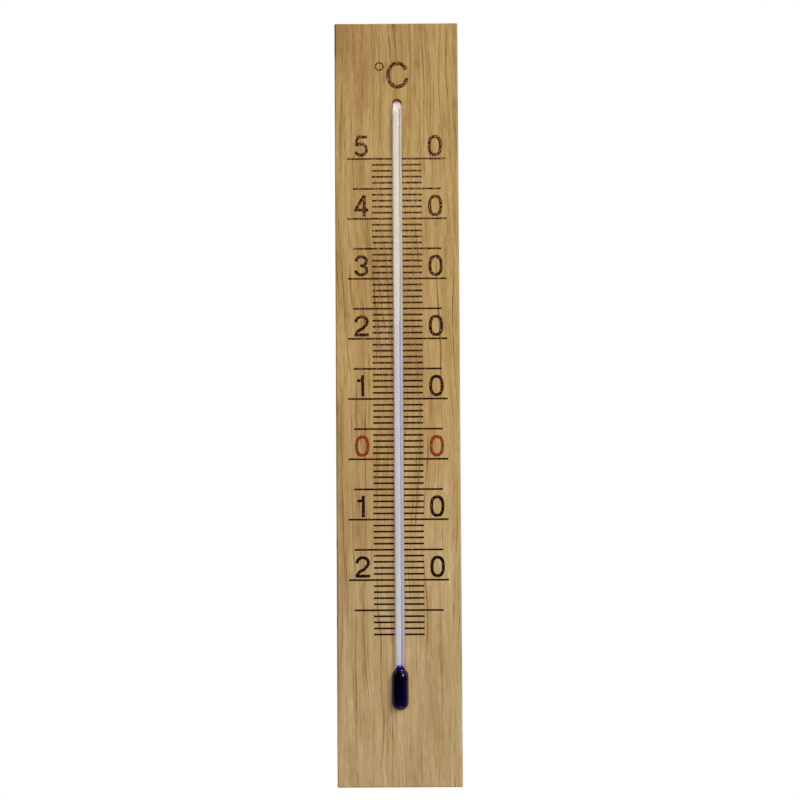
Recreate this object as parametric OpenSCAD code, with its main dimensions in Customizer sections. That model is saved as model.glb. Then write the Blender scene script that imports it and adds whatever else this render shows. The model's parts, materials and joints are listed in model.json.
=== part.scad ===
// Household wall thermometer: an oak board with a printed Celsius scale, a glass tube glued into a groove
// in its front, and a steel keyhole plate let into its back.
// Millimetres, +Z up. The front faces -Y and the back lies in the plane y = 0.
// The origin is the centre of the keyhole's round entry, in the back plane.

/* [Board] */
// Height of the board
board_h = 400; // [320:1:600]
// Width of the board
board_w = 65; // [60:1:120]
// Thickness of the board
board_t = 12; // [11:0.5:25]
// Radius of the board's sanded edges
edge_r = 0.8; // [0.2:0.1:2]

/* [Glass tube] */
// Diameter of the stem
stem_d = 5; // [4.4:0.1:6]
// Diameter of the bulb
bulb_d = 8.4; // [7.2:0.1:11]
// Length of the bulb, from its bottom to the top of its shoulder
bulb_len = 21.1; // [18:0.1:40]
// Length of the shoulder between the bulb and the stem
shoulder_len = 3.7; // [3.5:0.1:8]
// Board's bottom edge up to the bulb's bottom
bulb_up = 39.8; // [20:0.1:60]
// Board's top edge down to the stem's tip
tip_down = 41.7; // [30:0.1:60]
// How far the tube lies to the right of the board's middle
tube_x = 0.25; // [-1:0.05:1]
// How far the tube's axis is sunk below the board's face
tube_sink = 0; // [-0.5:0.1:1]
// Wall of the bulb
bulb_wall = 0.7; // [0.5:0.05:1]
// Diameter of the bore
bore_d = 0.46; // [0.4:0.01:0.7]
// How far the bore lies to the right of the stem's axis
bore_x = 0.72; // [0.7:0.01:0.8]
// Solid glass above the bore
bore_end = 4; // [3:0.5:10]
// Diameter of the bulb's cavity at the top of the shoulder
neck_d = 2.6; // [2.4:0.1:3]
// Diameter of the throat where the bulb's cavity ends in the stem
throat_d = 2.1; // [2.1:0.05:2.3]
// Top of the shoulder up to the throat's top
throat_rise = 2.2; // [1.4:0.1:4]
// Width of the ridge of glass that parts the throat into two horns
ridge_w = 0.9; // [0.7:0.05:0.9]
// Top of the shoulder up to the ridge's foot
ridge_rise = 0.6; // [0:0.1:1]

/* [Enamel strip] */
// Width of the white strip behind the bore
enamel_w = 2.1; // [1.6:0.1:2.2]
// How far the strip lies to the right of the stem's axis
enamel_x = 0.15; // [0:0.05:0.2]
// Thickness of the strip
enamel_t = 0.5; // [0.3:0.05:0.6]
// Glass between the throat and the strip, from front to back
enamel_gap = 0.2; // [0.1:0.05:0.3]
// Stem's tip down to the strip's round top end
enamel_tip_gap = 0.9; // [0.9:0.1:10]
// Top of the shoulder up to the strip's lower end
enamel_rise = 1; // [1:0.1:5]

/* [Liquid] */
// Temperature that the column shows at rest
rest_temp = 23; // [-20:1:40]
// Clearance of the column in the bore, on the radius
thread_clear = 0.02; // [0.01:0.005:0.05]

/* [Groove and adhesive] */
// Clearance beside the stem, on each side
groove_clear = 0.1; // [0.05:0.05:0.5]
// Clearance around the bulb
pocket_clear = 0.12; // [0.1:0.01:1]
// Gap between the stem's tip and the groove's end
tip_gap = 1.6; // [0.5:0.1:5]
// Thickness of the adhesive under the stem
glue_t = 0.7; // [0.4:0.1:1]
// Length of each bead of adhesive
glue_len = 12; // [5:1:25]
// Width of each bead of adhesive
glue_w = 4.2; // [3:0.1:4.6]
// How far the adhesive climbs the sides of the stem
glue_climb = 0.9; // [0.3:0.1:1.2]

/* [Scale] */
// Shoulder's top up to the lowest line
low_line_gap = 18.03; // [10:0.01:30]
// Stem's tip down to the highest line
high_line_gap = 30.32; // [12:0.01:50]
// How far the scale's middle lies below even spacing, since the liquid swells faster when it is warm
scale_sag = 0.34; // [0:0.01:1]
// Thickness of a scale line
line_t = 0.95; // [0.4:0.05:1.2]
// Middle of the board to the end of a ten-degree line
ten_half = 26; // [23:0.1:28]
// Middle of the board to the end of a five-degree line
five_half = 23.1; // [16:0.1:25]
// Middle of the board to the end of a one-degree line
one_half = 13.1; // [8:0.1:15]
// Thickness of the ink
ink_t = 0.05; // [0.03:0.01:0.2]

/* [Numerals] */
// Height of a numeral
numeral_h = 11.2; // [8:0.1:14]
// Width of a numeral
numeral_w = 7.5; // [5:0.1:8.5]
// Thickness of a numeral's strokes
stroke_t = 1.6; // [0.8:0.05:1.8]
// Middle of a line up to the foot of its numeral
numeral_lift = 1.25; // [0.9:0.05:3]
// Middle of the board to the middle of the left digits
left_digit_x = 18.85; // [16:0.05:24]
// Middle of the board to the middle of the right digits
right_digit_x = 20.1; // [16:0.05:24]

/* [Unit sign] */
// Height of the unit letter
unit_h = 14.5; // [10:0.1:18]
// Width of the unit letter
unit_w = 12; // [8:0.1:16]
// Thickness of the unit letter's stroke
unit_stroke = 2; // [1:0.1:2.2]
// Middle of the unit letter, to the right of the board's middle
unit_x = 0.7; // [-2:0.05:3]
// Groove's end up to the foot of the unit letter
unit_lift = 5.3; // [2:0.05:10]
// Outer diameter of the degree ring
ring_d = 4.8; // [3:0.1:6]
// Thickness of the degree ring's stroke
ring_stroke = 0.8; // [0.5:0.05:1.2]
// Middle of the degree ring to the middle of the unit letter
ring_dx = 9.65; // [9:0.05:14]
// Top of the unit letter down to the top of the degree ring
ring_drop = 0.25; // [0:0.05:2]

/* [Hanger] */
// Board's top edge down to the middle of the keyhole's entry
hanger_drop = 40; // [25:1:80]
// Width of the hanger plate
plate_w = 42; // [38:1:50]
// Height of the hanger plate
plate_h = 23; // [22:1:34]
// Thickness of the hanger plate
plate_t = 1.5; // [1.2:0.1:2]
// Radius of the hanger plate's corners
plate_r = 4; // [1:0.5:8]
// Diameter of the keyhole's entry
entry_d = 9; // [8:0.1:10]
// Width of the keyhole's slot
slot_w = 4.6; // [4.2:0.1:5.5]
// Middle of the entry up to the middle of the slot's round end
slot_rise = 9; // [7:0.5:10]
// Width of the pocket behind the plate
pocket_w = 13; // [11:0.5:16]
// Depth of the pocket behind the plate
pocket_deep = 4.5; // [4.2:0.1:5]
// Wood between the keyhole's outline and the ends of the pocket
pocket_margin = 2.2; // [1:0.1:3]

/* [Hanger screws] */
// Plate's end to the middle of a screw
screw_inset = 4.5; // [3.5:0.1:6]
// Diameter of a screw's shank
screw_d = 2.9; // [2.5:0.1:3.2]
// Diameter of a screw's head
head_d = 5.6; // [4.6:0.1:6]
// Length of a screw
screw_len = 9; // [7:0.5:10]
// Length of a screw's point
point_len = 2; // [1:0.5:3]
// Length of the arms of the screw's cross recess, tip to tip
cross_w = 2.8; // [2:0.1:3.2]
// Width of the arms of the cross recess
cross_t = 0.6; // [0.4:0.1:0.8]
// Depth of the cross recess
cross_deep = 0.9; // [0.5:0.1:1.2]

/* [Hidden] */
$fn = 96;

// How far a cutting solid runs past the face that it cuts
over = 1;

// Degrees of the highest and the lowest line
scale_high = 50;
scale_low = -29;

// Heights, from the keyhole's entry
board_top = hanger_drop;
board_bottom = board_top - board_h;
board_mid = (board_top + board_bottom) / 2;
bulb_bottom = board_bottom + bulb_up;
shoulder_bottom = bulb_bottom + bulb_len - shoulder_len;
shoulder_top = bulb_bottom + bulb_len;
throat_top = shoulder_top + throat_rise;
stem_tip = board_top - tip_down;
bore_top = stem_tip - bore_end;
groove_end = stem_tip + tip_gap;
low_line = shoulder_top + low_line_gap;
high_line = stem_tip - high_line_gap;

// Depths, where a larger y lies nearer to the wall
face_y = -board_t;
tube_y = face_y + tube_sink;
groove_floor = tube_y + stem_d / 2 + glue_t;
pocket_floor = tube_y + bulb_d / 2 + pocket_clear;

// Widths and radii
stem_r = stem_d / 2;
bulb_r = bulb_d / 2;
bore_r = bore_d / 2;
neck_r = neck_d / 2;
throat_r = throat_d / 2;
ridge_r = ridge_w / 2;
groove_w = stem_d + 2 * groove_clear;
bulb_pocket_w = bulb_d + 2 * pocket_clear;
enamel_front = throat_r + enamel_gap;

// Keyhole, and the plate centred on it
slot_r = slot_w / 2;
entry_r = entry_d / 2;
plate_mid = (slot_rise + slot_r - entry_r) / 2;
screw_x = plate_w / 2 - screw_inset;
pocket_low = -entry_r - pocket_margin;
pocket_high = slot_rise + slot_r + pocket_margin;

// Height of a temperature's line
function line_z(temp) =
    let (share = (temp - scale_low) / (scale_high - scale_low))
    low_line + (high_line - low_line) * share - 4 * scale_sag * share * (1 - share);

// Points of an elliptic arc, from one angle to another
function arc(centre, rx, rz, from, to, steps) = [
    for (i = [0:steps])
        let (a = from + (to - from) * i / steps)
        [centre.x + rx * cos(a), centre.y + rz * sin(a)]
];

// Points of a superellipse, the outline of a narrow printed zero
squareness = 2.5;
outline_steps = 56;
function power_of(c) = sign(c) * pow(abs(c), 2 / squareness);
function superellipse(rx, rz) = [
    for (i = [0:outline_steps - 1])
        let (a = 360 * i / outline_steps)
        [rx * power_of(cos(a)), rz * power_of(sin(a))]
];

// The unit vector across a path at one of its points
function across(path, i) =
    let (d = path[min(i + 1, len(path) - 1)] - path[max(i - 1, 0)])
    [-d.y, d.x] / norm(d);

// A stroke of even width along a path
module stroke(path, width) {
    last = len(path) - 1;
    left = [for (i = [0:last]) path[i] + across(path, i) * width / 2];
    right = [for (i = [last:-1:0]) path[i] - across(path, i) * width / 2];
    polygon(concat(left, right));
}

// Extrudes a drawing of X and Z from one depth to another
module between(y_front, y_back) {
    translate([0, y_back, 0])
        rotate([90, 0, 0])
            linear_extrude(y_back - y_front)
                children();
}

// A rectangle with round corners, centred
module rounded_rect(w, h, r) {
    square([w - 2 * r, h], center = true);
    square([w, h - 2 * r], center = true);
    for (sx = [-1, 1], sy = [-1, 1])
        translate([sx * (w / 2 - r), sy * (h / 2 - r)])
            circle(r);
}

// An upright slot with round ends
module upright_slot(w, z_low, z_high) {
    translate([-w / 2, z_low + w / 2])
        square([w, z_high - z_low - w]);
    for (z = [z_low + w / 2, z_high - w / 2])
        translate([0, z])
            circle(w / 2);
}

// The keyhole's outline
module keyhole() {
    circle(entry_r);
    translate([-slot_r, 0])
        square([slot_w, slot_rise]);
    translate([0, slot_rise])
        circle(slot_r);
}

// Half of the outline of a bulb that narrows through an S-shaped shoulder to a neck
module bulb_half(r_bulb, r_neck, z_low, z_straight, z_neck) {
    rise = (z_neck - z_straight) / 2;
    inset = (r_bulb - r_neck) / 2;
    bend_r = (inset * inset + rise * rise) / (2 * inset);
    intersection() {
        translate([0, z_low + r_bulb])
            circle(r_bulb);
        translate([0, z_low])
            square([r_bulb, r_bulb]);
    }
    translate([0, z_low + r_bulb])
        square([r_bulb, z_straight - z_low - r_bulb]);
    translate([0, z_straight])
        square([r_bulb - inset, rise]);
    intersection() {
        translate([r_bulb - bend_r, z_straight])
            circle(bend_r);
        translate([r_bulb - inset, z_straight])
            square([inset, rise]);
    }
    difference() {
        translate([0, z_straight + rise])
            square([r_bulb - inset, rise]);
        translate([r_neck + bend_r, z_neck])
            circle(bend_r);
    }
}

// Half of the outline of a dome that stands on z_low
module dome_half(r, z_low) {
    translate([0, z_low])
        intersection() {
            circle(r);
            square([r, r]);
        }
}

module at_tube() {
    translate([tube_x, tube_y, 0])
        children();
}

module board_blank() {
    intersection() {
        between(face_y, 0)
            translate([0, board_mid])
                rounded_rect(board_w, board_h, edge_r);
        translate([0, face_y / 2, board_bottom])
            linear_extrude(board_h)
                rounded_rect(board_w, board_t, edge_r);
        rotate([90, 0, 90])
            linear_extrude(board_w, center = true)
                translate([face_y / 2, board_mid])
                    rounded_rect(board_t, board_h, edge_r);
    }
}

module board() {
    bulb_pocket_low = bulb_bottom - pocket_clear;
    bulb_pocket_high = shoulder_bottom + bulb_pocket_w / 2;
    color("burlywood")
        difference() {
            board_blank();
            between(face_y - over, groove_floor)
                translate([tube_x, 0])
                    upright_slot(groove_w, bulb_bottom, groove_end);
            between(face_y - over, pocket_floor)
                translate([tube_x, 0])
                    upright_slot(bulb_pocket_w, bulb_pocket_low, bulb_pocket_high);
            between(-plate_t, over)
                translate([0, plate_mid])
                    rounded_rect(plate_w, plate_h, plate_r);
            between(-plate_t - pocket_deep, over)
                upright_slot(pocket_w, pocket_low, pocket_high);
            for (side = [-1, 1])
                screw_body(side);
        }
}

// The bulb's cavity, which rises into the stem as two horns with a ridge of glass between them
module cavity() {
    ridge_z = shoulder_top + ridge_rise + ridge_r;
    difference() {
        rotate_extrude() {
            bulb_half(bulb_r - bulb_wall, neck_r, bulb_bottom + bulb_wall, shoulder_bottom, shoulder_top);
            dome_half(neck_r, shoulder_top);
            translate([0, shoulder_top])
                square([throat_r, throat_rise - throat_r]);
            dome_half(throat_r, throat_top - throat_r);
        }
        between(-stem_r, stem_r) {
            translate([-ridge_r, ridge_z])
                square([ridge_w, throat_top + over - ridge_z]);
            translate([0, ridge_z])
                circle(ridge_r);
        }
    }
}

// The bore from within the right horn up to a height
module bore(z_high) {
    z_low = throat_top - throat_r;
    translate([bore_x, 0, z_low])
        cylinder(r = bore_r, h = z_high - z_low);
}

// The strip runs down behind the horns, and its upper end is round
module strip() {
    strip_bottom = shoulder_top + enamel_rise;
    round_z = stem_tip - enamel_tip_gap - enamel_w / 2;
    between(enamel_front, enamel_front + enamel_t)
        translate([enamel_x, 0]) {
            translate([-enamel_w / 2, strip_bottom])
                square([enamel_w, round_z - strip_bottom]);
            translate([0, round_z])
                circle(enamel_w / 2);
        }
}

module glass_tube() {
    color("azure", 0.4)
        at_tube()
            difference() {
                rotate_extrude() {
                    bulb_half(bulb_r, stem_r, bulb_bottom, shoulder_bottom, shoulder_top);
                    translate([0, shoulder_top])
                        square([stem_r, stem_tip - stem_r - shoulder_top]);
                    dome_half(stem_r, stem_tip - stem_r);
                }
                cavity();
                bore(bore_top);
                strip();
            }
}

module enamel_strip() {
    color("white")
        at_tube()
            strip();
}

module bulb_liquid() {
    color("midnightblue")
        at_tube() {
            cavity();
            bore(throat_top);
        }
}

module liquid_thread() {
    color("mediumblue")
        at_tube()
            translate([bore_x, 0, throat_top])
                cylinder(r = bore_r - thread_clear, h = line_z(rest_temp) - throat_top);
}

// A bead that fills the groove's floor and cradles the stem
module adhesive(z_mid) {
    color("gainsboro")
        difference() {
            translate([tube_x - glue_w / 2, groove_floor - glue_t - glue_climb, z_mid - glue_len / 2])
                cube([glue_w, glue_t + glue_climb, glue_len]);
            at_tube()
                translate([0, 0, z_mid - glue_len])
                    cylinder(r = stem_r, h = 2 * glue_len);
        }
}

// Beads a sixth, a half and five sixths of the way up the stem
function glue_z(share) = shoulder_top + (stem_tip - shoulder_top) * share;

module hanger_plate() {
    color("silver")
        difference() {
            between(-plate_t, 0)
                translate([0, plate_mid])
                    rounded_rect(plate_w, plate_h, plate_r);
            between(-plate_t - over, over)
                keyhole();
            for (side = [-1, 1])
                screw_body(side);
        }
}

// A countersunk screw without its recess: the head is as deep as the plate
module screw_body(side) {
    translate([side * screw_x, 0, plate_mid])
        rotate([90, 0, 0]) {
            cylinder(r1 = head_d / 2, r2 = screw_d / 2, h = plate_t);
            translate([0, 0, plate_t])
                cylinder(r = screw_d / 2, h = screw_len - plate_t - point_len);
            translate([0, 0, screw_len - point_len])
                cylinder(r1 = screw_d / 2, r2 = 0, h = point_len);
        }
}

module hanger_screw(side) {
    color("gainsboro")
        difference() {
            screw_body(side);
            translate([side * screw_x, -cross_deep, plate_mid])
                for (turn = [0, 90])
                    rotate([0, turn, 0])
                        translate([-cross_w / 2, 0, -cross_t / 2])
                            cube([cross_w, cross_deep + over, cross_t]);
        }
}

// Ink lies on the board's face
module ink() {
    between(face_y - ink_t, face_y)
        children();
}

// One scale line in two halves, which stop at the groove
module scale_line(temp, half) {
    left_end = tube_x - groove_w / 2;
    right_end = tube_x + groove_w / 2;
    translate([-half, line_z(temp) - line_t / 2])
        square([half + left_end, line_t]);
    translate([right_end, line_z(temp) - line_t / 2])
        square([half - right_end, line_t]);
}

// The lines of every temperature for which each kind of line is meant
module scale_lines(kind) {
    for (temp = [scale_low:scale_high]) {
        by_ten = temp % 10 == 0;
        by_five = temp % 5 == 0;
        if (kind == "ten" && by_ten)
            scale_line(temp, ten_half);
        if (kind == "five" && by_five && !by_ten)
            scale_line(temp, five_half);
        if (kind == "one" && !by_five)
            scale_line(temp, one_half);
    }
}

// Half of a numeral's width, and the sizes of its bowls, along the middle of the stroke
half_w = numeral_w / 2;
bowl_rx = half_w - stroke_t / 2;
waist_z = 0.505 * numeral_h;
arc_steps = 28;

module digit_0() {
    translate([0, numeral_h / 2])
        difference() {
            polygon(superellipse(half_w, numeral_h / 2));
            polygon(superellipse(half_w - stroke_t, numeral_h / 2 - stroke_t));
        }
}

module digit_1() {
    stem_x = 0.12 * half_w;
    flag_z = 0.75 * numeral_h;
    flag_r = 0.5 * half_w;
    flag_rise = numeral_h - flag_z - stroke_t / 2;
    stroke([[stem_x, 0], [stem_x, numeral_h]], stroke_t);
    stroke(concat([[-0.7 * half_w, flag_z]],
        arc([stem_x - flag_r, flag_z + flag_rise], flag_r, flag_rise, -90, 0, arc_steps / 2)), stroke_t * 0.9);
}

module digit_2() {
    bowl_rz = 0.24 * numeral_h;
    bowl = [0, numeral_h - stroke_t / 2 - bowl_rz];
    sweep = [0.42 * half_w, stroke_t / 4];
    stroke(concat(arc(bowl, bowl_rx, bowl_rz, 188, -35, arc_steps),
        arc(sweep, 1.21 * half_w, 0.33 * numeral_h, 105, 176, arc_steps / 2)), stroke_t);
    stroke([[-half_w, stroke_t / 2], [half_w, stroke_t / 2]], stroke_t);
}

module digit_3() {
    top_rz = (numeral_h - stroke_t / 2 - waist_z) / 2;
    low_rz = (waist_z - stroke_t / 2) / 2;
    upper = [0, waist_z + top_rz];
    lower = [0, stroke_t / 2 + low_rz];
    stroke(concat(arc(upper, 0.9 * bowl_rx, top_rz, 188, -90, arc_steps), [[-0.15 * half_w, waist_z]]), stroke_t);
    stroke(arc(lower, bowl_rx, low_rz, 90, -180, arc_steps), stroke_t);
}

module digit_4() {
    stem_x = 0.45 * half_w;
    bar_z = 0.3 * numeral_h;
    stroke([[stem_x, 0], [stem_x, numeral_h]], stroke_t);
    stroke([[-half_w, bar_z], [half_w, bar_z]], stroke_t);
    stroke([[stroke_t * 0.4 - half_w, bar_z - stroke_t * 0.2], [stem_x, numeral_h]], stroke_t);
}

module digit_5() {
    bowl_rz = 0.335 * numeral_h - stroke_t / 2;
    bowl = [0, 0.335 * numeral_h];
    corner = [-0.36 * half_w, numeral_h - stroke_t / 2];
    heel = [-0.68 * half_w, 0.51 * numeral_h];
    stroke([corner - [stroke_t / 2, 0], [0.88 * half_w, corner.y]], stroke_t);
    stroke([corner + [0, stroke_t / 2], heel], stroke_t);
    stroke(arc(bowl, 1.04 * bowl_rx, bowl_rz, 138, -158, arc_steps), stroke_t);
}

// Digits are trimmed to their own height and width
module digit(value) {
    intersection() {
        translate([-half_w, 0])
            square([numeral_w, numeral_h]);
        union() {
            if (value == 0) digit_0();
            if (value == 1) digit_1();
            if (value == 2) digit_2();
            if (value == 3) digit_3();
            if (value == 4) digit_4();
            if (value == 5) digit_5();
        }
    }
}

// The tens stand left of the tube and a zero stands right of it
module numeral(temp) {
    color(temp == 0 ? "firebrick" : "black")
        ink() {
            translate([-left_digit_x, line_z(temp) + numeral_lift])
                digit(abs(temp) / 10);
            translate([right_digit_x, line_z(temp) + numeral_lift])
                digit(0);
        }
}

module unit_sign() {
    letter_mid = [unit_x, groove_end + unit_lift + unit_h / 2];
    letter_rx = (unit_w - unit_stroke) / 2;
    letter_rz = (unit_h - unit_stroke) / 2;
    ring_mid = letter_mid + [-ring_dx, (unit_h - ring_d) / 2 - ring_drop];
    color("black")
        ink() {
            stroke(arc(letter_mid, letter_rx, letter_rz, 27, 344, 2 * arc_steps), unit_stroke);
            translate(ring_mid)
                difference() {
                    circle(ring_d / 2);
                    circle(ring_d / 2 - ring_stroke);
                }
        }
}

module one_degree_lines() {
    color("black") ink() scale_lines("one");
}

module five_degree_lines() {
    color("black") ink() scale_lines("five");
}

module ten_degree_lines() {
    color("black") ink() scale_lines("ten");
}

board();
glass_tube();
enamel_strip();
bulb_liquid();
liquid_thread();
adhesive(glue_z(5 / 6));  // adhesive_upper
adhesive(glue_z(1 / 2));  // adhesive_middle
adhesive(glue_z(1 / 6));  // adhesive_lower
hanger_plate();
hanger_screw(-1);  // hanger_screw_left
hanger_screw(1);  // hanger_screw_right
one_degree_lines();
five_degree_lines();
ten_degree_lines();
numeral(50);  // numeral_50
numeral(40);  // numeral_40
numeral(30);  // numeral_30
numeral(20);  // numeral_20
numeral(10);  // numeral_10
numeral(0);  // numeral_0
numeral(-10);  // numeral_minus_10
numeral(-20);  // numeral_minus_20
unit_sign();
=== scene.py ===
import json
import math
import bmesh
import bpy
from mathutils import Matrix, Vector

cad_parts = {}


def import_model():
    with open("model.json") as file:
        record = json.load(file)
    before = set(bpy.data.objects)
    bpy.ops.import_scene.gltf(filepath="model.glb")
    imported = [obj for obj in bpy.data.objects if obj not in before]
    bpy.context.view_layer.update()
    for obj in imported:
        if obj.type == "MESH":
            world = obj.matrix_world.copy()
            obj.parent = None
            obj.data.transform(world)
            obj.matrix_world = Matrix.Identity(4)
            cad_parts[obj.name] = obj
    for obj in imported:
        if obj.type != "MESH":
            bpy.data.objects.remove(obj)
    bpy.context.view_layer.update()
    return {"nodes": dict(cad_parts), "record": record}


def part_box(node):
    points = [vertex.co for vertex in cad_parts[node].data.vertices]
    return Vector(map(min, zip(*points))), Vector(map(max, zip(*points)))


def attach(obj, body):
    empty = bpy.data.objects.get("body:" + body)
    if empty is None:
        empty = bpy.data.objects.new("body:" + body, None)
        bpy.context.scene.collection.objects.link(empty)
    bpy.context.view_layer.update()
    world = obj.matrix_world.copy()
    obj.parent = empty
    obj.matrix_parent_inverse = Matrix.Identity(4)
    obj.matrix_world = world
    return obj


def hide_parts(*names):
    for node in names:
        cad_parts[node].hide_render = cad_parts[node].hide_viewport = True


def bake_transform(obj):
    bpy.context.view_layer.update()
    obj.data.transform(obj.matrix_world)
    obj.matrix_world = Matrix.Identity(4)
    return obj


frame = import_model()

MM = 0.001

# Bodies and the frame's places
ROOT = "board_and_tube"
board_low, board_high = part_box("board")
liquid_low, liquid_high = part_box("bulb_liquid")
enamel_low, enamel_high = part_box("enamel_strip")
thread_low, thread_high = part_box("liquid_thread")
board_mid = (board_low + board_high) / 2
face_y = board_low.y
face_mid = Vector((board_mid.x, face_y, board_mid.z))
bulb_axis = (liquid_low.x + liquid_high.x) / 2 / MM

# Heights in millimetres from the hanger's keyhole, between which a look changes smoothly
COOLER_WOOD = (-130, -330)
FULLER_INK = (30, -290)
# Painted light: below these heights the enamel's white turns bluish, for light from the blue thread
PAINTED_THREAD_LIGHT_FADE = (-180, -60)
# Painted light: the thread is brightened toward the bottom to offset its shading there
PAINTED_THREAD_BRIGHTENING = (-100, -290)


def srgb(red, green, blue):
    """A colour given in the 0 to 255 numbers of a picture, as the linear colour that a shader takes."""
    def linear(value):
        value = value / 255
        return value / 12.92 if value <= 0.04045 else ((value + 0.055) / 1.055) ** 2.4
    return (linear(red), linear(green), linear(blue), 1.0)


# Node helpers. Those that work out a value, colour or vector return the socket that gives it

def add_node(tree, kind, inputs=None, **settings):
    """A new node with its settings and inputs. An input is a socket to link from, or a value."""
    node = tree.nodes.new(kind)
    for name, value in settings.items():
        setattr(node, name, value)
    for name, value in (inputs or {}).items():
        if isinstance(value, bpy.types.NodeSocket):
            tree.links.new(value, node.inputs[name])
        else:
            node.inputs[name].default_value = value
    return node


def calc(tree, operation, a, b=0.0, clamp=False):
    """A sum, product or other operation on two values."""
    return add_node(tree, "ShaderNodeMath", {0: a, 1: b}, operation=operation, use_clamp=clamp).outputs[0]


def plus(tree, total, value, factor=1.0, clamp=False):
    """A total to which a value is added, times a factor."""
    return calc(tree, "ADD", total, calc(tree, "MULTIPLY", value, factor), clamp)


def apart(tree, value, middle):
    """How far a value is from a middle, to either side."""
    return calc(tree, "ABSOLUTE", calc(tree, "SUBTRACT", value, middle))


def ranged(tree, value, low, high, to_low=0.0, to_high=1.0):
    """A value between low and high, eased in and out, as one between to_low and to_high."""
    inputs = {"Value": value, "From Min": low, "From Max": high, "To Min": to_low, "To Max": to_high}
    return add_node(tree, "ShaderNodeMapRange", inputs, interpolation_type="SMOOTHSTEP").outputs["Result"]


def mixed(tree, factor, a, b, blend="MIX"):
    """Two colours, mixed by a factor."""
    node = add_node(tree, "ShaderNodeMix", {0: factor, 6: a, 7: b}, data_type="RGBA", blend_type=blend)
    return node.outputs[2]


def times(tree, vector, factors):
    """A vector whose three numbers are multiplied by three factors."""
    return add_node(tree, "ShaderNodeVectorMath", {0: vector, 1: factors}, operation="MULTIPLY").outputs[0]


def in_millimetres(tree):
    """The place on the object, in millimetres."""
    place = add_node(tree, "ShaderNodeTexCoord").outputs["Object"]
    return times(tree, place, (1 / MM, 1 / MM, 1 / MM))


def split(tree, vector):
    """The x, y and z of a vector."""
    node = add_node(tree, "ShaderNodeSeparateXYZ", {0: vector})
    return node.outputs[0], node.outputs[1], node.outputs[2]


def joined(tree, x, y, z):
    """A vector from its x, y and z."""
    return add_node(tree, "ShaderNodeCombineXYZ", {0: x, 1: y, 2: z}).outputs[0]


def noise(tree, place, periods, detail=2.0, roughness=0.5, seed=0.0):
    """Noise between 0 and 1, with a feature's size given along each axis, in millimetres."""
    place = times(tree, place, [1 / period for period in periods])
    inputs = {"Vector": place, "W": seed, "Scale": 1.0, "Detail": detail, "Roughness": roughness}
    return add_node(tree, "ShaderNodeTexNoise", inputs, noise_dimensions="4D").outputs[0]


def ramp(tree, value, stops):
    """The colour at a value, between stops that each have a position and a colour."""
    node = add_node(tree, "ShaderNodeValToRGB", {0: value})
    elements = node.color_ramp.elements
    while len(elements) < len(stops):
        elements.new(0.5)
    for element, (position, colour) in zip(elements, stops):
        element.position = position
        element.color = colour
    return node.outputs[0]


def bump(tree, height, distance):
    """A normal that makes a height between 0 and 1 look that far raised."""
    return add_node(tree, "ShaderNodeBump", {"Height": height, "Distance": distance}).outputs[0]


def new_material(name):
    """A material with nothing but its output, which is returned with the tree."""
    material = bpy.data.materials.new(name)
    material.use_nodes = True
    material.node_tree.nodes.clear()
    output = material.node_tree.nodes.new("ShaderNodeOutputMaterial")
    return material, material.node_tree, output


def principled(tree, output, **inputs):
    """The main shader, led to the output, with its inputs' names written with underscores."""
    named = {name.replace("_", " "): value for name, value in inputs.items()}
    shader = add_node(tree, "ShaderNodeBsdfPrincipled", named)
    tree.links.new(shader.outputs[0], output.inputs["Surface"])
    return shader


def let_lamps_through(tree, output, shader, passed):
    """Lamps shine through the material, dimmed to the colour passed. For all else it stays the shader."""
    clear = add_node(tree, "ShaderNodeBsdfTransparent", {0: passed})
    path = add_node(tree, "ShaderNodeLightPath")
    inputs = {0: path.outputs["Is Shadow Ray"], 1: shader.outputs[0], 2: clear.outputs[0]}
    mix = add_node(tree, "ShaderNodeMixShader", inputs)
    tree.links.new(mix.outputs[0], output.inputs["Surface"])


# Oak: growth lines, seams, streaks, fibres and pores that run up the board, in millimetres

# How far the grain leans for each millimetre of height, and how widely it wanders and ripples
GRAIN_LEAN = 0.022
WANDER_WIDTH = 16
RIPPLE_WIDTH = 2.6

# How much of the depth counts where the rings wander
DEPTH_SHARE = 0.3

# Growth lines and seams: how many cross a millimetre, how many more come with each millimetre of depth,
# where the count starts, and by how many they are shifted to and fro
RINGS_PER_MM = 0.16
RING_SLANT = 0.2
RING_START = 0.88
RING_SHIFT = 2.2
SEAMS_PER_MM = 0.29
SEAM_SLANT = 0.35
SEAM_SHIFT = 2.6


def growth_lines(tree, across, inward, ring_grain):
    """Where the dark edge of a year's growth lies. The edges run slanted through the board's thickness."""
    slant = plus(tree, RING_START, inward, RING_SLANT)
    place = plus(tree, slant, across, RINGS_PER_MM)
    place = plus(tree, place, noise(tree, ring_grain, (14, 14, 260), seed=5), RING_SHIFT)
    phase = calc(tree, "FRACT", place)
    line = calc(tree, "MAXIMUM", ranged(tree, phase, 0.0, 0.09, 1.0, 0.0), ranged(tree, phase, 0.93, 1.0))
    breaks = noise(tree, ring_grain, (1.4, 1.4, 26), seed=12)
    presence = noise(tree, ring_grain, (12, 12, 90), detail=1, seed=15)
    line = calc(tree, "MULTIPLY", line, ranged(tree, breaks, 0.3, 0.62))
    return calc(tree, "MULTIPLY", line, ranged(tree, presence, 0.38, 0.62))


def dark_seams(tree, across, inward, ring_grain):
    """Where a narrow dark seam lies, which follows the grain for a few centimetres."""
    shift = noise(tree, ring_grain, (11, 11, 170), seed=33)
    place = plus(tree, calc(tree, "MULTIPLY", across, SEAMS_PER_MM), shift, SEAM_SHIFT)
    place = plus(tree, place, inward, SEAM_SLANT)
    seam = ranged(tree, apart(tree, calc(tree, "FRACT", place), 0.5), 0.01, 0.07, 1.0, 0.0)
    presence = noise(tree, ring_grain, (4, 4, 75), detail=3, seed=36)
    return calc(tree, "MULTIPLY", seam, ranged(tree, presence, 0.45, 0.62))


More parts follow.
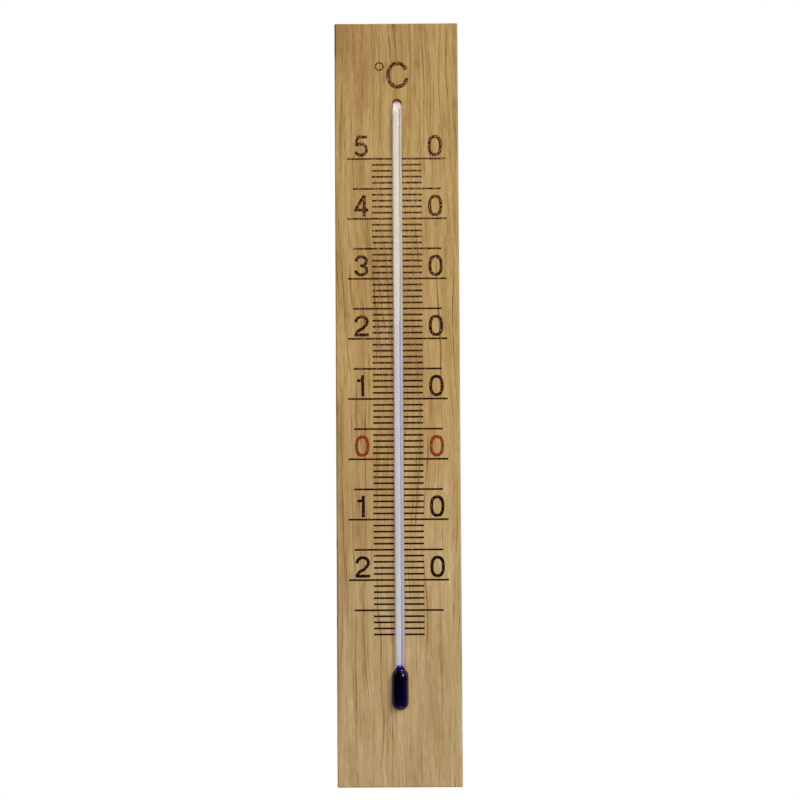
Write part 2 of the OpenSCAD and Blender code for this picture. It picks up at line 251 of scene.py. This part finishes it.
def oak_group():
    """A group that gives the wood's colour, the depth of its pores and the unevenness of its fibres."""
    tree = bpy.data.node_groups.new("oak", "ShaderNodeTree")
    tree.interface.new_socket("Color", in_out="OUTPUT", socket_type="NodeSocketColor")
    tree.interface.new_socket("Pores", in_out="OUTPUT", socket_type="NodeSocketFloat")
    tree.interface.new_socket("Fibres", in_out="OUTPUT", socket_type="NodeSocketFloat")
    place = in_millimetres(tree)
    x, y, z = split(tree, place)

    # Rings change little from the front face inward, so that they cross the board's ends as whole lines
    inward = calc(tree, "SUBTRACT", y, face_y / MM)
    depth_in = plus(tree, face_y / MM, inward, DEPTH_SHARE)
    ring_space = joined(tree, x, depth_in, z)

    # The grain leans a little and wanders
    across = plus(tree, x, z, GRAIN_LEAN)
    across = plus(tree, across, noise(tree, ring_space, (34, 34, 130), seed=3), WANDER_WIDTH)
    across = plus(tree, across, noise(tree, ring_space, (9, 9, 42), seed=8), RIPPLE_WIDTH)
    grain = joined(tree, across, y, z)
    ring_grain = joined(tree, across, depth_in, z)
    line = growth_lines(tree, across, inward, ring_grain)
    seam = dark_seams(tree, across, inward, ring_grain)
    fibres = noise(tree, grain, (0.5, 0.5, 8), roughness=0.6, seed=2)
    pores = ranged(tree, noise(tree, grain, (0.5, 0.5, 7), detail=1, seed=4), 0.6, 0.72)

    # Light and dark: noise pulls the tone to either side, and lines, seams and pores darken it
    tone = plus(tree, 0.52, z, -0.0003)
    streaks = noise(tree, grain, (1.6, 1.6, 28), detail=3, roughness=0.6, seed=1)
    bands = noise(tree, grain, (5.5, 5.5, 110), seed=6)
    patches = noise(tree, place, (26, 26, 90), seed=9)
    for value, weight in ((streaks, 0.95), (bands, 0.45), (fibres, 0.75), (patches, 0.3)):
        tone = plus(tree, tone, calc(tree, "SUBTRACT", value, 0.5), weight)
    tone = plus(tree, tone, seam, -0.55)
    tone = plus(tree, tone, line, -0.34)
    tone = plus(tree, tone, pores, -0.12, clamp=True)
    colour = ramp(tree, tone, [
        (0.0, srgb(108, 78, 44)),
        (0.25, srgb(150, 116, 66)),
        (0.5, srgb(177, 145, 92)),
        (0.75, srgb(193, 163, 113)),
        (1.0, srgb(212, 186, 138)),
    ])

    # Reddish patches, and wood that is golden above and cooler below
    redness = ranged(tree, noise(tree, place, (22, 22, 120), seed=20), 0.4, 0.75, 0.0, 0.35)
    colour = mixed(tree, redness, colour, srgb(196, 150, 104), "MULTIPLY")
    cast = mixed(tree, ranged(tree, z, *COOLER_WOOD), (1.02, 0.99, 0.86, 1), (0.99, 1.02, 1.12, 1))
    colour = mixed(tree, 1.0, colour, cast, "MULTIPLY")
    depth = calc(tree, "MAXIMUM", pores, calc(tree, "MAXIMUM", line, seam))
    add_node(tree, "NodeGroupOutput", {"Color": colour, "Pores": depth, "Fibres": fibres})
    return tree


OAK = oak_group()


def oak_material():
    """The board's lightly oiled wood."""
    material, tree, output = new_material("oak")
    oak = add_node(tree, "ShaderNodeGroup", node_tree=OAK).outputs
    roughness = plus(tree, 0.42, oak["Fibres"], 0.25)
    roughness = plus(tree, roughness, oak["Pores"], 0.15, clamp=True)
    height = calc(tree, "SUBTRACT", calc(tree, "MULTIPLY", oak["Fibres"], 0.4), oak["Pores"])
    normal = bump(tree, height, 0.06 * MM)
    principled(tree, output, Base_Color=oak["Color"], Roughness=roughness, Normal=normal,
               Specular_IOR_Level=0.3)
    return material


def ink_material(name, ink_colour, thin_colour, full_cover=1.0):
    """Printed ink, which the grain breaks into beads. It is thinner toward the scale's top and over pores."""
    material, tree, output = new_material(name)
    oak = add_node(tree, "ShaderNodeGroup", node_tree=OAK).outputs
    place = in_millimetres(tree)
    z = split(tree, place)[2]
    beads = noise(tree, place, (0.6, 0.6, 1.1), detail=1, seed=31)
    beads = plus(tree, beads, ranged(tree, z, *FULLER_INK, 0.0, 0.15))
    beads = plus(tree, beads, oak["Pores"], -0.05)
    cover = ranged(tree, beads, 0.34, 0.54, 0.3 * full_cover, full_cover)
    ink = mixed(tree, ranged(tree, beads, 0.42, 0.6), thin_colour, ink_colour)
    colour = mixed(tree, cover, oak["Color"], ink)
    roughness = plus(tree, 0.8, cover, -0.15)
    normal = bump(tree, beads, 0.03 * MM)
    principled(tree, output, Base_Color=colour, Roughness=roughness, Normal=normal,
               Specular_IOR_Level=0.05)
    return material


def glass_material():
    """Clear glass. Lamps shine through it, so that what it holds is lit, and less so at its edges."""
    material, tree, output = new_material("glass")
    shader = principled(tree, output, Base_Color=(0.985, 0.99, 0.995, 1), Roughness=0.0, IOR=1.5,
                        Transmission_Weight=1.0, Specular_Tint=(0.6, 0.52, 0.7, 1))
    facing = add_node(tree, "ShaderNodeLayerWeight", {"Blend": 0.5}).outputs["Facing"]
    passed = mixed(tree, ranged(tree, facing, 0.2, 0.4), (0.61, 0.6, 0.59, 1), (0.42, 0.39, 0.36, 1))
    let_lamps_through(tree, output, shader, passed)
    return material


def enamel_material():
    """Warm white, with painted bluish light from the thread lower down, painted violet light from the bulb
    where it ends behind the horns, and painted pinkish shade at its tip.
    """
    material, tree, output = new_material("enamel")
    place = in_millimetres(tree)
    x, _, z = split(tree, place)
    bulb_top = liquid_high.z / MM
    enamel_top = enamel_high.z / MM
    drawn = noise(tree, place, (0.7, 0.7, 60), seed=40)
    # Painted light: this bluish white stands in for light from the blue thread
    painted_bluish_white = mixed(tree, drawn, srgb(224, 221, 226), srgb(241, 238, 240))
    warm = mixed(tree, drawn, srgb(239, 229, 216), srgb(251, 243, 232))
    colour = mixed(tree, ranged(tree, z, *PAINTED_THREAD_LIGHT_FADE), painted_bluish_white, warm)
    # Painted light: violet from the bulb's liquid, shown on the enamel where it ends behind the horns
    painted_violet_light = ranged(tree, z, bulb_top - 0.5, bulb_top + 0.8, 1.0, 0.0)
    between_horns = ranged(tree, apart(tree, x, bulb_axis), 0.3, 0.7, 1.0, 0.3)
    painted_violet_light = calc(tree, "MULTIPLY", painted_violet_light, between_horns)
    colour = mixed(tree, painted_violet_light, colour, srgb(158, 144, 240))
    # Painted shade: a pinkish tint at the tip stands in for the dark groove end seen through the glass tip
    tip = ranged(tree, z, enamel_top - 1.1, enamel_top - 0.1)
    colour = mixed(tree, tip, colour, srgb(214, 172, 170))
    roughness = plus(tree, 0.35, drawn, 0.1)
    principled(tree, output, Base_Color=colour, Roughness=roughness, IOR=1.1)
    return material


def liquid_material():
    """Nearly black, with painted violet light where light would shine through the dye: at the throat, the
    bottom, the rims, the far rim and the side toward the key lamp.
    """
    material, tree, output = new_material("liquid")
    place = in_millimetres(tree)
    x, _, z = split(tree, place)
    top = liquid_high.z / MM
    bottom = liquid_low.z / MM
    # Painted light: violet toward the key lamp's side, at both rims, the far rim, the bottom and the throat,
    # where light would shine through the liquid
    lit_side = ranged(tree, x, bulb_axis + 0.4, bulb_axis + 3.0, 0.0, 0.27)
    rims = ranged(tree, apart(tree, x, bulb_axis), 2.7, 3.4, 0.0, 0.3)
    far_rim = ranged(tree, x, bulb_axis - 2.75, bulb_axis - 3.45, 0.0, 0.75)
    base = ranged(tree, z, bottom, bottom + 6.0, 0.55, 0.0)
    throat = ranged(tree, z, top - 4.2, top - 1.2, 0.0, 0.85)
    cloud = noise(tree, place, (2, 2, 5), detail=1, seed=50)
    painted_glow = calc(tree, "MAXIMUM", rims, far_rim)
    painted_glow = calc(tree, "MAXIMUM", lit_side, painted_glow)
    painted_glow = calc(tree, "MAXIMUM", painted_glow, base)
    painted_glow = calc(tree, "MULTIPLY", painted_glow, ranged(tree, cloud, 0.3, 0.65, 0.35, 1.3))
    painted_glow = calc(tree, "MAXIMUM", painted_glow, throat, clamp=True)
    deep = (0.0016, 0.0002, 0.006, 1)
    painted_violet = (0.022, 0.002, 0.2, 1)
    principled(tree, output, Base_Color=mixed(tree, painted_glow, deep, painted_violet), Roughness=0.5,
               Specular_IOR_Level=0.0)
    return material


def thread_material():
    """The column of dye, through which some light still reaches the enamel. It is brightened toward the
    bottom as painted light, to offset its shading there.
    """
    material, tree, output = new_material("liquid_thread")
    place = in_millimetres(tree)
    z = split(tree, place)[2]
    cloud = noise(tree, place, (0.5, 0.5, 20), detail=1, seed=51)
    colour = mixed(tree, cloud, srgb(152, 150, 196), srgb(176, 174, 210))
    # Painted light: brighter lower down, to offset the shading the column gets there
    colour = mixed(tree, ranged(tree, z, *PAINTED_THREAD_BRIGHTENING), colour, srgb(204, 203, 255))
    shader = principled(tree, output, Base_Color=colour, Roughness=0.2, IOR=1.36)
    let_lamps_through(tree, output, shader, (0.92, 0.92, 0.96, 1))
    return material


def adhesive_material():
    """Lumpy, milky silicone."""
    material, tree, output = new_material("adhesive")
    lumps = noise(tree, in_millimetres(tree), (1.5, 1.5, 2.5), detail=3, seed=60)
    colour = mixed(tree, lumps, srgb(196, 190, 176), srgb(226, 221, 208))
    roughness = plus(tree, 0.3, lumps, 0.2)
    normal = bump(tree, lumps, 0.1 * MM)
    principled(tree, output, Base_Color=colour, Roughness=roughness, Normal=normal)
    return material


def steel_material(name, colour, dark, mark_size):
    """Zinc-plated steel with fine marks and a cloudy bloom."""
    material, tree, output = new_material(name)
    place = in_millimetres(tree)
    marks = noise(tree, place, mark_size, detail=3, roughness=0.6, seed=70)
    bloom = noise(tree, place, (5, 5, 5), detail=3, seed=71)
    cast = plus(tree, calc(tree, "MULTIPLY", marks, 0.55), bloom, 0.45)
    shade = mixed(tree, ranged(tree, cast, 0.36, 0.62), dark, colour)
    roughness = plus(tree, calc(tree, "MULTIPLY", marks, 0.2), bloom, 0.18)
    roughness = plus(tree, roughness, 0.16)
    normal = bump(tree, marks, 0.01 * MM)
    principled(tree, output, Base_Color=shade, Roughness=roughness, Normal=normal, Metallic=1.0)
    return material


materials = {
    "oak": oak_material(),
    "glass": glass_material(),
    "enamel": enamel_material(),
    "liquid": liquid_material(),
    "adhesive": adhesive_material(),
    "plate_steel": steel_material("plate_steel", srgb(182, 183, 184), srgb(134, 136, 139), (14, 0.3, 0.3)),
    "screw_steel": steel_material("screw_steel", srgb(176, 172, 160), srgb(112, 109, 102), (0.5, 0.5, 0.5)),
    "black_ink": ink_material("black_ink", srgb(24, 12, 5), srgb(84, 42, 28)),
    "red_ink": ink_material("red_ink", srgb(118, 22, 8), srgb(166, 54, 32), full_cover=0.92),
}

for part in frame["record"]["subparts"]:
    node = frame["nodes"][part["node"]]
    node.data.materials.clear()
    node.data.materials.append(materials[part["material_slot"]])


# What the glass holds is drawn a hair larger than its cavity, so that no air film shows between them

FILM = 0.012 * MM
WELD = 0.0005 * MM
SHARP_ANGLE = math.radians(40)

# The shoulder and the throat above it, as in the part's source, and how the dye's swell fades from there
SHOULDER_LENGTH = 3.7 * MM
THROAT_RISE = 2.2 * MM
SHOULDER_SWELL = 0.42 * MM
FADE_UP = 0.9 * MM
FADE_DOWN = 1.2 * SHOULDER_LENGTH

# The column's gap in the bore, as in the part's source, and how far its foot reaches into the throat
BORE_GAP = 0.02 * MM
FOOT_DEPTH = 0.7 * MM
COLUMN_SIDES = 32
DOME_RINGS = 4


def finished(name, mesh, material):
    """An object from a mesh, with its material and slot."""
    piece = bpy.data.objects.new(name, mesh)
    bpy.context.scene.collection.objects.link(piece)
    mesh.materials.clear()
    mesh.materials.append(material)
    return piece


def at_shoulder(height):
    """1 at the top of the bulb's shoulder, where the dye fills the glass, and 0 in the bulb and the horns."""
    above = height - (liquid_high.z - THROAT_RISE)
    if above > 0:
        share = 1 - above / FADE_UP
    else:
        share = 1 + above / FADE_DOWN
    share = min(max(share, 0.0), 1.0)
    return share * share * (3 - 2 * share)


def swollen_copy(node_name, material, shoulder_swell=0.0):
    """A copy of a node's solid, FILM larger and swollen more at the shoulder, that replaces the node."""
    mesh = bpy.data.meshes.new(node_name + "_seen")
    source = frame["nodes"][node_name].data
    work = bmesh.new()
    corners = [work.verts.new(vertex.co) for vertex in source.vertices]
    for face in source.polygons:
        work.faces.new([corners[i] for i in face.vertices])
    bmesh.ops.remove_doubles(work, verts=work.verts, dist=WELD)
    bmesh.ops.recalc_face_normals(work, faces=work.faces)
    work.normal_update()
    for vertex in work.verts:
        vertex.co = vertex.co + vertex.normal * (FILM + shoulder_swell * at_shoulder(vertex.co.z))
    work.to_mesh(mesh)
    work.free()
    mesh.shade_smooth()
    mesh.set_sharp_from_angle(angle=SHARP_ANGLE)
    piece = finished(node_name + "_seen", mesh, material)
    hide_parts(node_name)
    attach(piece, ROOT)


swollen_copy("bulb_liquid", materials["liquid"], shoulder_swell=SHOULDER_SWELL)
swollen_copy("enamel_strip", materials["enamel"])


def ring_of_points(work, centre_x, centre_y, radius, height):
    """A level ring of points around the column's axis."""
    points = []
    for side in range(COLUMN_SIDES):
        angle = 2 * math.pi * side / COLUMN_SIDES
        x = centre_x + radius * math.cos(angle)
        y = centre_y + radius * math.sin(angle)
        points.append(work.verts.new((x, y, height)))
    return points


def liquid_thread():
    """The column: a ring at its foot and a domed top, so that it stretches evenly from the throat up."""
    radius = (thread_high.x - thread_low.x) / 2 + BORE_GAP + FILM
    axis_x = (thread_low.x + thread_high.x) / 2
    axis_y = (thread_low.y + thread_high.y) / 2
    foot = thread_low.z - FOOT_DEPTH
    dome = thread_high.z - radius
    work = bmesh.new()
    rings = [ring_of_points(work, axis_x, axis_y, radius, foot)]
    for i in range(DOME_RINGS):
        angle = math.radians(90 * i / DOME_RINGS)
        height = dome + radius * math.sin(angle)
        rings.append(ring_of_points(work, axis_x, axis_y, radius * math.cos(angle), height))
    tip = work.verts.new((axis_x, axis_y, dome + radius))
    next_side = [(side + 1) % COLUMN_SIDES for side in range(COLUMN_SIDES)]
    for lower, upper in zip(rings, rings[1:]):
        for side, after in enumerate(next_side):
            work.faces.new((lower[side], lower[after], upper[after], upper[side]))
    for side, after in enumerate(next_side):
        work.faces.new((rings[-1][side], rings[-1][after], tip))
    work.faces.new(list(reversed(rings[0])))
    mesh = bpy.data.meshes.new("liquid_thread_seen")
    work.to_mesh(mesh)
    work.free()
    mesh.shade_smooth()
    piece = finished("liquid_thread_seen", mesh, thread_material())
    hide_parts("liquid_thread")
    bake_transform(piece)
    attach(piece, ROOT)


liquid_thread()


# The stage: a pale floor far below the object, which hangs free so that every side shows

FLOOR_DROP = 0.55
FLOOR_RADIUS = 0.35
FLOOR_SIDES = 96


def floor():
    """A round floor."""
    work = bmesh.new()
    bmesh.ops.create_circle(work, cap_ends=True, segments=FLOOR_SIDES, radius=FLOOR_RADIUS)
    mesh = bpy.data.meshes.new("floor")
    work.to_mesh(mesh)
    work.free()
    piece = bpy.data.objects.new("floor", mesh)
    piece.location = (board_mid.x, 0, board_low.z - FLOOR_DROP)
    bpy.context.scene.collection.objects.link(piece)
    material, tree, output = new_material("floor")
    principled(tree, output, Base_Color=srgb(236, 236, 236), Roughness=0.9)
    mesh.materials.append(material)


floor()


# The light: what the room gives to dull surfaces and shows as mirrored from in front, and three lamps

AMBIENT = 0.38
FRONT_GLOW = 0.03
BEHIND_FROM = 0.35


def world():
    """White for the camera and in glass, white from behind in what is mirrored, and grey for the rest."""
    studio = bpy.data.worlds.new("studio")
    bpy.context.scene.world = studio
    studio.use_nodes = True
    tree = studio.node_tree
    tree.nodes.clear()
    path = add_node(tree, "ShaderNodeLightPath").outputs
    inward = split(tree, add_node(tree, "ShaderNodeTexCoord").outputs["Generated"])[1]
    behind = ranged(tree, inward, 0.0, BEHIND_FROM, FRONT_GLOW, 1.0)
    mirrored = calc(tree, "MULTIPLY", path["Is Glossy Ray"], behind)
    seen = calc(tree, "MAXIMUM", path["Is Camera Ray"], path["Is Transmission Ray"])
    background = calc(tree, "MAXIMUM", seen, mirrored)

    # Light that a dull surface scatters has come from the room, also where it passes through the glass
    scattered = calc(tree, "GREATER_THAN", path["Diffuse Depth"], 0.5)
    straight = calc(tree, "SUBTRACT", 1.0, scattered)
    strength = plus(tree, calc(tree, "MULTIPLY", straight, background), scattered, AMBIENT)
    shader = add_node(tree, "ShaderNodeBackground", {0: (1, 1, 1, 1), 1: strength})
    add_node(tree, "ShaderNodeOutputWorld", {0: shader.outputs[0]})


world()


def lamp(name, place, width, height, share):
    """A lamp that faces the middle of the board's front, where it gives that share of full light."""
    light = bpy.data.lights.new(name, "AREA")
    light.shape = "RECTANGLE"
    light.size = width
    light.size_y = height
    piece = bpy.data.objects.new(name, light)
    place = Vector(place)
    slant = abs(place.y) / place.length
    light.energy = share * math.pi ** 2 * place.length_squared / slant
    piece.location = face_mid + place
    piece.rotation_mode = "QUATERNION"
    piece.rotation_quaternion = place.to_track_quat("Z", "Y")
    # Its light comes through glass by shadow rays alone, so that it isn't counted twice
    piece.visible_transmission = False
    bpy.context.scene.collection.objects.link(piece)


lamp("key", (2.0, -1.7, 1.7), 1.0, 2.1, 0.54)
lamp("front", (0.2, -1.28, 0.13), 0.4, 0.64, 0.12)
lamp("rim", (-0.9, 1.1, 0.6), 0.6, 0.6, 0.3)


# The camera, from the board's four corners in the photograph

FRAME_PX = 800
FOCAL_PX = 2296.5
SENSOR_WIDTH = 36.0
NEAREST = 0.01
FARTHEST = 20
CAMERA_DISTANCE = 1.2
CAMERA_TURN = math.radians(-0.322)
CAMERA_TILT = math.radians(-3.397)
CAMERA_ROLL = math.radians(-0.34)
CAMERA_SHIFT = Vector((-1.01 * MM, 0, -0.89 * MM))


def camera():
    """A camera in front of the board, turned and shifted as the photograph's was."""
    data = bpy.data.cameras.new("camera")
    data.sensor_width = SENSOR_WIDTH
    data.lens = SENSOR_WIDTH * FOCAL_PX / FRAME_PX
    data.clip_start = NEAREST
    data.clip_end = FARTHEST
    piece = bpy.data.objects.new("camera", data)
    bpy.context.scene.collection.objects.link(piece)
    bpy.context.scene.camera = piece
    roll = Matrix.Rotation(CAMERA_ROLL, 4, "Y")
    tilt = Matrix.Rotation(CAMERA_TILT, 4, "X")
    turn = Matrix.Rotation(CAMERA_TURN, 4, "Z")
    turned = roll @ tilt @ turn
    seat = Matrix.Translation(Vector((0, -CAMERA_DISTANCE, 0)) - CAMERA_SHIFT)
    upright = Matrix.Rotation(math.radians(90), 4, "X")
    piece.matrix_world = Matrix.Translation(face_mid) @ turned.transposed() @ seat @ upright


camera()
bpy.context.scene.view_settings.view_transform = "Standard"
